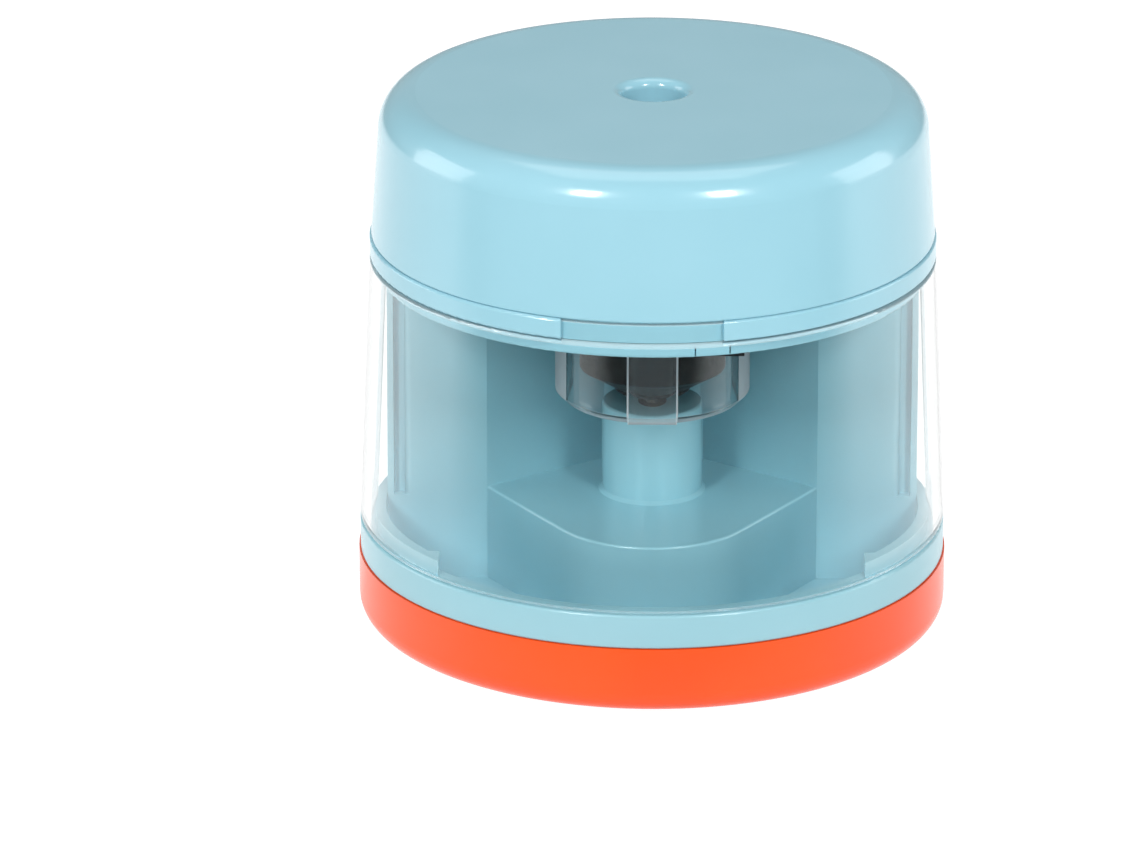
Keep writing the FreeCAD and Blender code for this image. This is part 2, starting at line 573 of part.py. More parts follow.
def makeCutter():
    hubTop = "(cutterBottom + hubHeight)"
    profile = [("shaftRadius", "cutterBottom"), ("hubRadius", "cutterBottom"), ("hubRadius", hubTop),
               ("cutterRadius", f"{hubTop} + cutterCone"), ("cutterRadius", "cutterTop"),
               ("mouthRadius + 0.3", "cutterTop"), ("mouthRadius", "cutterTop - 1"), ("tipRadius", "socketTip"),
               ("tipRadius", "socketTip - 1.8"), ("shaftRadius", "socketTip - 1.8")]
    head = turned("cutterDrum", profile)
    head = roundedRims(head, "edgeRound", ("hubRadius", "cutterBottom"), ("cutterRadius", f"{hubTop} + cutterCone"),
                       ("cutterRadius", "cutterTop"))
    return node(cut("cutter", head, slanted(box("cutterFlat", "-12", "12", "0", "14", "0", "30"), "-12", "0", "0"),
                    slanted(cylinder("cutterPilot", "1", "0", "6"), "bladeWidth / 2 + 0.3", "-3", "10", True)),
                "cutter_head")


def slanted(item, x, across, along, lieDown=False):
    # moves a piece onto the flat that follows the side of the pencil socket
    angle = socketAngle
    bind(item, "Placement.Rotation.Axis.x", "1")
    bind(item, "Placement.Rotation.Axis.y", "0")
    bind(item, "Placement.Rotation.Axis.z", "0")
    bind(item, "Placement.Rotation.Angle", f"-{angle}" if not lieDown else f"-{angle} - 90 deg")
    start = "(tipRadius - flatDepth)"
    return place(item, x, f"{start} + {across} * cos({angle}) + {along} * sin({angle})",
                 f"socketTip + {along} * cos({angle}) - {across} * sin({angle})")


def makeBlade():
    plate = slanted(box("bladePlate", "0", "bladeWidth", "0", "bladeThick", "0", "bladeLength"), "0.3", "0", "0.2")
    hole = slanted(cylinder("bladeHole", "1.1", "0", "6"), "bladeWidth / 2 + 0.3", "-3", "10", True)
    node(cut("blade", plate, hole), "blade")
    shank = slanted(cylinder("bladeShank", "1", "0", "3 + bladeThick"), "bladeWidth / 2 + 0.3", "-3", "10", True)
    head = slanted(cylinder("bladeHead", "2", "0", "1"), "bladeWidth / 2 + 0.3", "bladeThick", "10", True)
    slot = slanted(box("bladeSlot", "-2.1", "2.1", "-0.3", "0.3", "0", "1"), "bladeWidth / 2 - 1.8",
                   "bladeThick + 0.6", "10.3", True)
    node(cut("bladeScrew", fused("bladeScrewWhole", shank, head), slot), "blade_screw")


def makeGuard():
    inner = "(guardRadius - guardWall)"
    front = "-guardRadius - padDepth - 1"
    sides = box("guardSides", "-guardRadius", "guardRadius", "0", "guardBack", "guardBottom", deckBottom)
    gap = box("guardGap", f"-{inner}", inner, "-0.01", "guardBack + 1", "guardBottom - 1", f"{deckBottom} + 1")
    rear = box("guardRear", "-2 * guardRadius", "2 * guardRadius", "0", "2 * guardRadius", "guardBottom - 1",
               f"{deckBottom} + 1")
    bevelled = roundShell("guardRound", "guardRadius", "guardBottom", deckBottom)
    arch = cut("guardArch", bevelled, cylinder("guardBore", inner, "guardBottom - 1", f"{deckBottom} + 1"), rear)
    legs = cut("guardLegs", sides, gap, *guardLegBevels())
    pad = box("guardPadBlock", "-guardPad", "guardPad", "-guardRadius - padDepth", f"-{inner} - 0.3",
              "guardBottom + 0.5", deckBottom)
    return node(fused("guard", arch, legs, pad), "cutter_guard")


def roundShell(name, radius, bottom, top):
    return turned(name, [("0", bottom), (f"{radius} - guardBevel", bottom), (radius, f"{bottom} + guardBevel"),
                         (radius, top), ("0", top)])


def guardLegBevels():
    # the outer lower edge of both straight legs carries on the bevel of the round front
    bevels = []
    for number, side in enumerate(("", "-")):
        bevel = raised(f"guardBevel{number}", [("0", "0"), ("2 * guardBevel", "0"), ("2 * guardBevel", "2 * guardBevel")],
                       "0", "guardBack + 1")
        bind(bevel, "Placement.Rotation.Axis.x", "1")
        bind(bevel, "Placement.Rotation.Axis.y", "0")
        bind(bevel, "Placement.Rotation.Axis.z", "0")
        bind(bevel, "Placement.Rotation.Angle", "90")
        bevels.append(place(bevel, "guardRadius - guardBevel", "guardBack + 1", "guardBottom"))
        if side == "-":
            bind(bevel, "Placement.Rotation.Axis.x", "0")
            bind(bevel, "Placement.Rotation.Axis.y", "0.70710678")
            bind(bevel, "Placement.Rotation.Axis.z", "0.70710678")
            bind(bevel, "Placement.Rotation.Angle", "180")
            place(bevel, "-guardRadius + guardBevel", "0", "guardBottom")
    return bevels


def makeShaft():
    node(cylinder("driveShaft", "shaftRadius", f"{cupTop} - 1.6", "socketTip - 2"), "drive_shaft")
    outer = cylinder("bushOuter", "bushRadius", "columnTop - bushLength", "columnTop")
    bore = cylinder("bushBore", "shaftRadius + runningGap", "0", "columnTop + 1")
    node(cut("bush", outer, bore), "column_bush")


# --- gear train ---

def involutePoint(baseRadius, radius, halfAngle, side, centre):
    angle = math.acos(min(1.0, baseRadius / radius))
    pressure = math.radians(20)
    swing = halfAngle + math.tan(pressure) - pressure - math.tan(angle) + angle
    return FreeCAD.Vector(radius * math.cos(centre + side * swing), radius * math.sin(centre + side * swing), 0)


def gearFace(teeth, shift):
    # involute teeth of 20 degrees, each flank one arc through three points of the involute
    module = value("gearModule")
    pitch = module * teeth / 2
    base = pitch * math.cos(math.radians(20))
    tip = pitch + module * (1 + shift)
    root = pitch - module * (1.25 - shift)
    start = max(base, root)
    thickness = module * (math.pi / 2 + 2 * shift * math.tan(math.radians(20))) - value("backlash")
    halfAngle = thickness / (2 * pitch)
    edges = []
    last = None
    first = None
    for tooth in range(teeth):
        centre = 2 * math.pi * tooth / teeth
        rise = [involutePoint(base, radius, halfAngle, -1, centre) for radius in (start, (start + tip) / 2, tip)]
        fall = [involutePoint(base, radius, halfAngle, 1, centre) for radius in (tip, (start + tip) / 2, start)]
        footIn = rise[0] * (root / start)
        footOut = fall[2] * (root / start)
        top = FreeCAD.Vector(tip * math.cos(centre), tip * math.sin(centre), 0)
        if last:
            edges.append(rootArc(last, footIn, root))
        first = first or footIn
        if start > root:
            edges.append(Part.makeLine(footIn, rise[0]))
        edges.append(Part.Arc(*rise).toShape())
        edges.append(Part.Arc(rise[2], top, fall[0]).toShape())
        edges.append(Part.Arc(*fall).toShape())
        if start > root:
            edges.append(Part.makeLine(fall[2], footOut))
        last = footOut
    edges.append(rootArc(last, first, root))
    return Part.Face(Part.Wire(edges))


def rootArc(before, after, root):
    middle = before + after
    return Part.Arc(before, middle * (root / middle.Length), after).toShape()


def gearBlank(name, teeth, shift, bottom, top, y="0"):
    blank = doc.addObject("Part::Feature", name)
    blank.Shape = gearFace(teeth, shift).extrude(FreeCAD.Vector(0, 0, value(top) - value(bottom)))
    blank.Placement = FreeCAD.Placement(FreeCAD.Vector(0, value(y), value(bottom)), FreeCAD.Rotation())
    return blank


def makeGears():
    wheel = int(value("wheelTeeth"))
    pinion = int(value("pinionTeeth"))
    shift = value("pinionShift")
    output = gearBlank("outputTeeth", wheel, -shift, "outputBottom", wheelTop)
    hub = cylinder("outputHub", "3.2", "outputBottom", f"{wheelTop} + 0.1")
    bore = cylinder("outputBore", "shaftRadius", "0", "20")
    node(cut("outputGear", fused("outputWhole", output, hub), bore), "output_gear")

    large = gearBlank("idlerLarge", wheel, -shift, idlerBottom, idlerTop, centres)
    small = gearBlank("idlerSmall", pinion, shift, idlerFoot, f"{idlerBottom} + 0.1", centres)
    axleBore = cylinder("idlerBore", "axleRadius + runningGap", "0", "20", "0", centres)
    node(cut("idlerGear", fused("idlerWhole", large, small), axleBore), "idler_gear")
    node(cylinder("idlerAxle", "axleRadius", "plateBottom", "platformTop - 0.9", "0", centres), "idler_axle")

    motorPinion = gearBlank("motorTeeth", pinion, shift, f"{idlerBottom} - 0.3", f"{idlerTop} + 0.3", motorBack)
    shaftBore = cylinder("pinionBore", "motorShaft", "0", "40", "0", motorBack)
    node(cut("motorPinion", motorPinion, shaftBore), "motor_pinion")


def makeGearPlate():
    plate = box("platePlain", "-plateHalf", "plateHalf", "-plateFront", "plateBack", "plateBottom", plateTop)
    boss = cylinder("plateBossIdler", "2.2", plateTop, f"{idlerFoot} - 0.2", "0", centres)
    holes = drilled("plateHole", plateScrewPlaces, "screwRadius + holeGap", "0", "9")
    holes += drilled("plateSink", plateScrewPlaces, "screwHead + holeGap", "0", "plateBottom + headHeight")
    holes.append(cylinder("plateAxle", "axleRadius", "0", "9", "0", centres))
    node(cut("gearPlate", fused("plateWhole", plate, boss), *holes), "gear_plate")
    cupBottom = f"({plateTop} + pressTravel + 0.3)"
    flangeTop = f"({cupTop} - 0.6)"
    flangeBottom = f"({flangeTop} - 0.8)"
    bore = "(shaftRadius + runningGap)"
    profile = [("0", cupBottom), ("cupRadius", cupBottom), ("cupRadius", flangeBottom),
               ("flangeRadius", flangeBottom), ("flangeRadius", flangeTop), (f"{bore} + 0.7", flangeTop),
               (f"{bore} + 0.7", cupTop), (bore, cupTop), (bore, f"{cupTop} - 1.7"), ("0", f"{cupTop} - 1.7")]
    node(turned("thrustCup", profile), "thrust_cup")
    node(coilSpring("returnSpring", 2.8, 0.17, plateTop, flangeBottom, 2.5), "return_spring")
    leafTop = f"({flangeBottom} - pressTravel - 0.1)"
    lowLeaf = f"({leafTop} - 0.7)"
    block = cut("leafBlock", box("leafBlockOuter", "6.4", "9.4", "-2.5", "2.5", plateTop, f"{leafTop} + 0.4"),
                box("leafSlotTop", "6", "10", "-1.6", "1.6", f"{leafTop} - 0.2", leafTop),
                box("leafSlotLow", "6", "10", "-1.6", "1.6", f"{lowLeaf} - 0.2", lowLeaf))
    node(block, "switch_block")
    leaves = [box("leafUpper", "3.4", "9.6", "-1.6", "1.6", f"{leafTop} - 0.2", leafTop),
              box("leafLower", "3.8", "9.6", "-1.6", "1.6", f"{lowLeaf} - 0.2", lowLeaf)]
    node(group("switchLeaves", leaves), "start_switch_leaves")


# --- motor ---

def motorOutline(name, inset, bottom, top):
    drum = cylinder(name + "Drum", f"motorRadius - ({inset})", bottom, top, "0", motorBack)
    slab = box(name + "Slab", "-motorRadius", "motorRadius", f"{motorBack} - motorHalf + ({inset})",
               f"{motorBack} + motorHalf - ({inset})", bottom, top)
    return shared(name, drum, slab)


def makeMotor():
    canTop = "(motorBottom + motorLength)"
    skin = motorOutline("canOuter", "0", "motorBottom", canTop)
    nose = cylinder("canNose", "3", "motorBottom - 1.4", "motorBottom", "0", motorBack)
    inside = motorOutline("canInner", "motorSkin", "motorBottom + motorSkin", f"{canTop} + 1")
    bore = cylinder("canBore", "motorShaft + runningGap", "0", f"{canTop} + 1", "0", motorBack)
    node(cut("motorCan", fused("canWhole", skin, nose), inside, bore), "motor_can")

    lid = motorOutline("endOuter", "0", canTop, motorTop)
    plug = motorOutline("endPlug", "motorSkin + 0.05", f"{canTop} - 1.5", canTop)
    boss = cylinder("endBoss", "2.6", motorTop, f"{motorTop} + 1.6", "0", motorBack)
    lidBore = cylinder("endBore", "motorShaft + runningGap", "0", f"{motorTop} + 2", "0", motorBack)
    tabWays = motorTabs("tabWay")
    node(cut("endCap", fused("endWhole", lid, plug, boss), lidBore, *tabWays), "motor_end_cap")
    node(group("motorTabs", motorTabs("motorTab")), "motor_terminals")

    ring = cut("magnetRing", cylinder("magnetOuter", "motorRadius - motorSkin - 0.05", "motorBottom + 4", f"{canTop} - 3", "0",
                                      motorBack),
               cylinder("magnetInner", "motorRadius - 2.9", "motorBottom + 3", f"{canTop} - 2", "0", motorBack))
    magnets = []
    for number, side in enumerate(("", "-")):
        left = "4.2" if side == "" else "-motorRadius"
        right = "motorRadius" if side == "" else "-4.2"
        window = box(f"magnetWindow{number}", left, right, f"{motorBack} - motorHalf + motorSkin + 0.05",
                     f"{motorBack} + motorHalf - motorSkin - 0.05", "motorBottom", canTop)
        magnets.append(shared(f"magnet{number}", ring, window))
    node(group("magnets", magnets), "motor_magnets")

    core = cylinder("rotorCore", "6.2", "motorBottom + 5", f"{canTop} - 5", "0", motorBack)
    slots = []
    for number in range(3):
        angle = f"({number} * 120 + 90)"
        slots.append(cylinder(f"rotorSlot{number}", "1.5", "motorBottom", canTop, f"5.6 * cos({angle})",
                              f"{motorBack} + 5.6 * sin({angle})"))
    shaftWay = cylinder("rotorBore", "motorShaft", "0", canTop, "0", motorBack)
    node(cut("rotor", core, shaftWay, *slots), "motor_rotor")
    node(cylinder("motorShaft", "motorShaft", f"{idlerBottom} - 0.6", f"{motorTop} + 1.2", "0", motorBack),
         "motor_shaft")


def motorTabs(name):
    tabs = []
    for number, side in enumerate(("", "-")):
        left = "7.2" if side == "" else "-7.7"
        right = "7.7" if side == "" else "-7.2"
        tabs.append(box(f"{name}{number}", left, right, f"{motorBack} - 1.2", f"{motorBack} + 1.2",
                        f"{motorTop} - 1", f"{motorTop} + 3"))
    return tabs


def makeClamp():
    low = motorTop
    high = f"({motorTop} + clampThick)"
    plate = box("clampPlate", "-motorRadius - 0.6", "motorRadius + 0.6", f"{motorBack} - motorHalf",
                f"{motorBack} + motorHalf", low, high)
    bar = box("clampBar", "-motorRadius - 3.15", "motorRadius + 3.15", f"{motorBack} + 2.3",
              f"{motorBack} + 6.7", low, high)
    ears = drilled("clampEar", clampScrewPlaces, "2.2", low, high)
    middle = cylinder("clampMiddle", "2.9", "0", capTop, "0", motorBack)
    ways = [middle] + drilled("clampHole", clampScrewPlaces, "screwRadius + holeGap", "0", capTop)
    ways += drilled("clampWay", deckScrewPlaces[2:], "2.2 + holeGap", "0", capTop)
    for number, side in enumerate(("", "-")):
        left = "6.7" if side == "" else "-8.2"
        right = "8.2" if side == "" else "-6.7"
        ways.append(box(f"clampSlot{number}", left, right, f"{motorBack} - 1.8", f"{motorBack} + 1.8", "0", capTop))
    node(cut("motorClamp", fused("clampWhole", plate, bar, *ears), *ways), "motor_clamp")


# --- cells and their contacts ---

def makeCells():
    cells = []
    for number, (x, y) in enumerate(cellPlaces):
        nubUp = number == 1
        low = "cellBottom" if nubUp else "cellBottom + cellNub"
        high = f"{cellTop} - cellNub" if nubUp else cellTop
        can = cylinder(f"cellCan{number}", "cellRadius", low, high, x, y)
        nub = cylinder(f"cellNub{number}", "2.75", "cellBottom" if not nubUp else high,
                       low if not nubUp else cellTop, x, y)
        cells.append(fused(f"cell{number}", can, nub))
    node(group("cells", cells), "aa_cells")


def makeTopContact():
    strip = box("stripPlain", "-cellAcross - 4", "cellAcross + 4", "cellBack - 2.5", "cellBack + 2.5",
                cellTop, f"{cellTop} + 0.4")
    node(strip, "top_contact_strip")
    low = f"({cellTop} + 0.4)"
    high = f"({cellTop} + 2)"
    across = box("holderAcross", "-cellAcross - 4", "cellAcross + 4", "cellBack - 3.5", "cellBack + 3.5", low, high)
    middle = box("holderMiddle", "-12.5", "12.5", "cellBack - 6.5", "cellBack + 6.5", low, high)
    legs = drilled("holderLeg", mirroredPairs("11", "cellBack - 5") + mirroredPairs("11", "cellBack + 5"), "1.4",
                   f"min({deckTop}; {low})", f"max({high}; {deckBottom})")
    node(fused("contactHolder", across, middle, *legs), "contact_holder")


def makeScrews():
    screws("base_screws", baseScrewPlaces, f"({floorTop} - 0.8)", "11", False)
    screws("deck_screws", deckScrewPlaces, deckTop, f"({spigotBottom} - 6)", True)
    screws("gear_plate_screws", plateScrewPlaces, "plateBottom + headHeight", "10", False)
    screws("motor_clamp_screws", clampScrewPlaces, f"({motorTop} + clampThick)", f"({motorTop} - 5.5)", True)


fillSheet()
makeBase()
feet("front_feet", False)
makeDoor()
feet("door_feet", True)
makeDoorContacts()
makeBody()
makeClearCover()
makeDeck()
makeCap()
makeButton()
makeSwitch()
makeCutter()
makeBlade()
makeGuard()
makeShaft()
makeGears()
makeGearPlate()
makeMotor()
makeClamp()
makeCells()
makeTopContact()
makeScrews()
doc.recompute()

for item in doc.Objects:
    if "Invalid" in item.State or "Error" in item.State:
        raise RuntimeError(f"{item.Name} failed: {item.State}")
for item in nodes:
    if item.Shape.isNull() or not item.Shape.isValid() or item.Shape.Volume <= 0:
        raise RuntimeError(f"{item.Label} has no valid solid")

os.makedirs("parts", exist_ok=True)
for item in nodes:
    item.Shape.exportStep(f"parts/{item.Label}.step")
    print(item.Label, len(item.Shape.Solids), round(item.Shape.Volume, 1))
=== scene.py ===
import math
import bpy
import numpy as np
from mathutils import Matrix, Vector


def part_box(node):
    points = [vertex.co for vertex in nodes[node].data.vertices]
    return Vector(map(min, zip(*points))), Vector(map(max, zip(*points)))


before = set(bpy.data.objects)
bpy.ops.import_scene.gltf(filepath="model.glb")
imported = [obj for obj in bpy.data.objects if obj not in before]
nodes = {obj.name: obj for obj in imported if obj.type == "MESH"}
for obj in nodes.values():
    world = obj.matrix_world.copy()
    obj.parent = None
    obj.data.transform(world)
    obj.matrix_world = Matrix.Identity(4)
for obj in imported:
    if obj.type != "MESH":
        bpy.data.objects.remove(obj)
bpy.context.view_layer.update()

mm = 0.001


# Materials: what every maker uses

def linearColour(hexValue):
    # sRGB hex to linear light
    channels = np.array([int(hexValue[k:k + 2], 16) for k in (1, 3, 5)]) / 255
    linear = np.where(channels <= 0.04045, channels / 12.92, ((channels + 0.055) / 1.055) ** 2.4)
    return (*linear.tolist(), 1.0)


def addNode(tree, kind, settings=None, **links):
    # one shader node: settings go to its fields or sockets, and links join its inputs to other outputs,
    # named as the socket or as i and the socket's number
    node = tree.nodes.new(kind)
    for name, setting in (settings or {}).items():
        if name in node.inputs:
            node.inputs[name].default_value = setting
        else:
            setattr(node, name, setting)
    for name, source in links.items():
        socket = node.inputs[int(name[1:])] if name[0] == "i" and name[1:].isdigit() else node.inputs[name]
        tree.links.new(source, socket)
    return node


def startMaterial(name):
    material = bpy.data.materials.new(name)
    material.use_nodes = True
    tree = material.node_tree
    tree.nodes.clear()
    place = addNode(tree, "ShaderNodeTexCoord").outputs["Object"]
    return material, tree, place


def finishShader(tree, settings, colour, rough=None, relief=None, metallic=None):
    # the surface shader with its patterns joined, and the material's output
    shader = addNode(tree, "ShaderNodeBsdfPrincipled", settings)
    patterns = {"Base Color": colour, "Roughness": rough, "Normal": relief, "Metallic": metallic}
    for name, pattern in patterns.items():
        if pattern is not None:
            tree.links.new(pattern, shader.inputs[name])
    addNode(tree, "ShaderNodeOutputMaterial", Surface=shader.outputs[0])


def rampBetween(tree, factor, low, high, start=0.0, end=1.0):
    # goes from low to high as the factor goes from start to end, and stays level outside them
    ranged = addNode(tree, "ShaderNodeMapRange",
                     {"From Min": start, "From Max": end, "To Min": low, "To Max": high}, Value=factor)
    return ranged.outputs["Result"]


def calculated(tree, operation, first, second=None, amounts=(), clamp=False):
    # a sum on one or two patterns; amounts fill the inputs after them
    node = addNode(tree, "ShaderNodeMath", {"operation": operation, "use_clamp": clamp}, i0=first)
    if second is not None:
        tree.links.new(second, node.inputs[1])
    filled = 1 if second is None else 2
    for k, amount in enumerate(amounts):
        node.inputs[filled + k].default_value = amount
    return node.outputs[0]


def mixColours(tree, factor, first, second):
    mix = addNode(tree, "ShaderNodeMix", {"data_type": "RGBA"})
    mix.inputs[6].default_value = linearColour(first)
    mix.inputs[7].default_value = linearColour(second)
    tree.links.new(factor, mix.inputs[0])
    return mix.outputs[2]


def cloudedColour(tree, cloud, look):
    # the colour drifts to its deeper neighbour over the middle of the cloud's levels
    cloudFrom, cloudTo = 0.35, 0.65
    return mixColours(tree, rampBetween(tree, cloud, 0, 1, cloudFrom, cloudTo), look["colour"], look["deep"])


def noiseAt(tree, place, sizeMm, detail=3.0, roughness=0.5, stretch=(1, 1, 1)):
    # noise whose blotches are about sizeMm across; stretch above 1 draws it out along that axis
    scale = tuple(1.0 / (sizeMm * mm * factor) for factor in stretch)
    mapped = addNode(tree, "ShaderNodeMapping", {"Scale": scale}, Vector=place).outputs["Vector"]
    noise = addNode(tree, "ShaderNodeTexNoise", {"Scale": 1.0, "Detail": detail, "Roughness": roughness},
                    Vector=mapped)
    return noise.outputs["Fac"]


def bumped(tree, height, depthMm, under=None):
    # a bump whose full swing stands for depthMm of relief
    bump = addNode(tree, "ShaderNodeBump", {"Strength": 1.0, "Distance": depthMm * mm}, Height=height)
    if under is not None:
        tree.links.new(under, bump.inputs["Normal"])
    return bump.outputs["Normal"]


# Materials: moulded plastics

mouldedLooks = {
    # base colour, slightly deeper colour, roughness low and high, coat, ripple and grain depth in mm
    "glossAbsBlue": dict(colour="#9CCEDD", deep="#98CBDA", smooth=0.19, dull=0.22, coat=0.35, ripple=0.0035,
                         grain=0.0003),
    "bodyAbsBlue": dict(colour="#9CCCD8", deep="#98C9D5", smooth=0.25, dull=0.265, coat=0.15, ripple=0.003,
                        grain=0.0003),
    "glossAbsOrange": dict(colour="#FF5713", deep="#FC5211", smooth=0.2, dull=0.27, coat=0.0, ripple=0.0035,
                           grain=0.0004),
    "blackMouldedAbs": dict(colour="#1C1C1D", deep="#161617", smooth=0.35, dull=0.5, coat=0.0, ripple=0.003,
                            grain=0.004),
    "naturalAbs": dict(colour="#D9D5C8", deep="#D0CBBC", smooth=0.4, dull=0.55, coat=0.0, ripple=0.004,
                       grain=0.004),
    "whiteAcetal": dict(colour="#ECEBE4", deep="#E2E1D8", smooth=0.3, dull=0.42, coat=0.0, ripple=0.002,
                        grain=0.002),
    "nylonCap": dict(colour="#E9E7DD", deep="#DDDACD", smooth=0.38, dull=0.5, coat=0.0, ripple=0.003,
                     grain=0.004),
}

# sizes in mm: slow colour drift, handling bloom with fine dust on it, cooling ripple, mould grain; the
# bloom dulls the surface between two of its levels
mouldedSizes = dict(drift=24, handled=9, dust=0.5, dustShare=0.05, bloomFrom=0.42, bloomTo=0.85, ripple=7,
                    grain=0.12)


def mouldedPlastic(name):
    # injection moulded plastic: an even colour, a soft reflection that ripples very slightly where the
    # wall cooled, a faint bloom of handling marks, and a fine mould grain
    look = mouldedLooks[name]
    size = mouldedSizes
    material, tree, place = startMaterial(name)
    colour = cloudedColour(tree, noiseAt(tree, place, size["drift"], detail=2), look)
    handled = noiseAt(tree, place, size["handled"], detail=2)
    wear = addNode(tree, "ShaderNodeMath", {"operation": "MULTIPLY_ADD"},
                   i0=noiseAt(tree, place, size["dust"], detail=2), i2=handled)
    wear.inputs[1].default_value = size["dustShare"]
    rough = rampBetween(tree, wear.outputs[0], look["smooth"], look["dull"], size["bloomFrom"],
                        size["bloomTo"])
    ripple = bumped(tree, noiseAt(tree, place, size["ripple"], detail=1), look["ripple"])
    relief = bumped(tree, noiseAt(tree, place, size["grain"], detail=2), look["grain"], ripple)
    finishShader(tree, {"IOR": 1.53, "Coat Weight": look["coat"], "Coat Roughness": 0.06, "Coat IOR": 1.5},
                 colour, rough, relief)
    return material


# Materials: clear plastics

clearLooks = {
    # flow is the depth in mm of the flow lines; each painted edge part is how strongly pale grey is painted
    # there, a painted stand-in for the lines that refraction and reflection draw along a clear edge, then the
    # spans that all hold there, as an axis, a middle and a half width in mm
    "clearCover": dict(tint="#FBFDFD", paintedEdgeGrey="#C2DEE6", flow=0.0012,
                       paintedEdgeSpans=[(0.5, [("Z", 51.75, 0.3)]),       # upper rim
                             # the tab's edge: a painted shadow line along the gap above the tab
                             (0.5, [("Z", 54.75, 0.12)]),      # tab's edge
                             (0.4, [("Z", 14.9, 0.12)])]),     # lower rim
    "clearGuard": dict(tint="#F4F8F8", paintedEdgeGrey="#C6CBCF", flow=0.0008,
                       paintedEdgeSpans=[(0.7, [("X", 12.4, 0.8)]),        # legs
                             (0.7, [("X", -12.4, 0.8)]),
                             (0.5, [("Z", 32.0, 0.45)]),       # lower rim
                             (0.1, [("X", 0.0, 3.3), ("Y", -13.0, 1.2)]),      # front pad and its edges
                             (1.0, [("X", 3.3, 0.13), ("Y", -13.0, 1.2)]),
                             (1.0, [("X", -3.3, 0.13), ("Y", -13.0, 1.2)])]),
}


# mm across, and drawn out along the way the plastic flowed
flowLines = dict(size=8, stretch=(1, 1, 3))


def insideSpan(tree, sockets, axis, middle, half):
    # 1 where the point lies within half of the middle, else 0
    return calculated(tree, "COMPARE", sockets[axis], amounts=(middle * mm, half * mm))


def paintedEdgeShare(tree, place, paintedEdgeSpans):
    # the strongest share of painted edge grey of the parts that a point lies in
    sockets = addNode(tree, "ShaderNodeSeparateXYZ", Vector=place).outputs
    share = None
    for amount, spans in paintedEdgeSpans:
        inside = insideSpan(tree, sockets, *spans[0])
        for span in spans[1:]:
            inside = calculated(tree, "MULTIPLY", inside, insideSpan(tree, sockets, *span))
        part = rampBetween(tree, inside, 0, amount)
        share = part if share is None else calculated(tree, "MAXIMUM", share, part)
    return share


def clearStyrene(name):
    # clear moulded styrene: see-through, with faint flow lines from the moulding, and pale grey painted along
    # its rims and edges for the lines that refraction and reflection draw there; lamps pass straight through,
    # as light does through a thin clear wall
    look = clearLooks[name]
    material, tree, place = startMaterial(name)
    share = paintedEdgeShare(tree, place, look["paintedEdgeSpans"])
    lines = noiseAt(tree, place, flowLines["size"], detail=1, stretch=flowLines["stretch"])
    flow = bumped(tree, lines, look["flow"])
    glass = addNode(tree, "ShaderNodeBsdfPrincipled",
                    {"Base Color": linearColour(look["tint"]), "Roughness": 0.01, "IOR": 1.5,
                     "Specular IOR Level": 0.3, "Transmission Weight": 1.0}, Normal=flow)
    # pale grey painted on the rims and edges: painted refraction and reflection lines, and at the tab's edge
    # a painted shadow line
    paintedEdgeGrey = addNode(tree, "ShaderNodeBsdfPrincipled",
                   {"Base Color": linearColour(look["paintedEdgeGrey"]), "Roughness": 0.5})
    wall = addNode(tree, "ShaderNodeMixShader", i0=share, i1=glass.outputs[0], i2=paintedEdgeGrey.outputs[0])
    through = addNode(tree, "ShaderNodeBsdfTransparent", {"Color": linearColour(look["tint"])})
    path = addNode(tree, "ShaderNodeLightPath").outputs
    unseen = calculated(tree, "MAXIMUM", path["Is Shadow Ray"], path["Is Diffuse Ray"])
    whole = addNode(tree, "ShaderNodeMixShader", i0=unseen, i1=wall.outputs[0], i2=through.outputs[0])
    addNode(tree, "ShaderNodeOutputMaterial", Surface=whole.outputs[0])
    return material


# Materials: metals

metalLooks = {
    # base colour, deeper colour, roughness low and high, line spacing in mm and how far each axis draws
    # the lines out
    "groundSteel": dict(colour="#B9BBBD", deep="#A3A5A8", smooth=0.16, dull=0.32, line=0.18,
                        along=(1, 1, 30)),
    "zincPlatedSteel": dict(colour="#C3C6C8", deep="#AEB2B5", smooth=0.22, dull=0.4, line=0.5,
                            along=(1, 1, 1)),
    "sinteredBronze": dict(colour="#6B573B", deep="#54442F", smooth=0.4, dull=0.55, line=0.15,
                           along=(30, 30, 1)),
    "rolledBronze": dict(colour="#C98F63", deep="#B47A50", smooth=0.24, dull=0.4, line=0.2, along=(30, 1, 1)),
    "nickelPlatedSpring": dict(colour="#C9C7C0", deep="#B3B1AA", smooth=0.18, dull=0.3, line=0.3,
                               along=(1, 1, 1)),
    "laminatedIron": dict(colour="#77736D", deep="#5E5B56", smooth=0.35, dull=0.55, line=0.35,
                          along=(60, 60, 1)),
}

# mm across and mm deep; the lines dull the metal between two of their levels
metalSizes = dict(cloud=4, lineDepth=0.0015, dullFrom=0.3, dullTo=0.7)


def plainMetal(name):
    # bare or plated metal: fine lines left by grinding, turning or rolling stretch the highlight along them
    look = metalLooks[name]
    material, tree, place = startMaterial(name)
    lines = noiseAt(tree, place, look["line"], stretch=look["along"])
    colour = cloudedColour(tree, noiseAt(tree, place, metalSizes["cloud"]), look)
    rough = rampBetween(tree, lines, look["smooth"], look["dull"], metalSizes["dullFrom"],
                        metalSizes["dullTo"])
    finishShader(tree, {"Metallic": 1.0}, colour, rough, bumped(tree, lines, metalSizes["lineDepth"]))
    return material


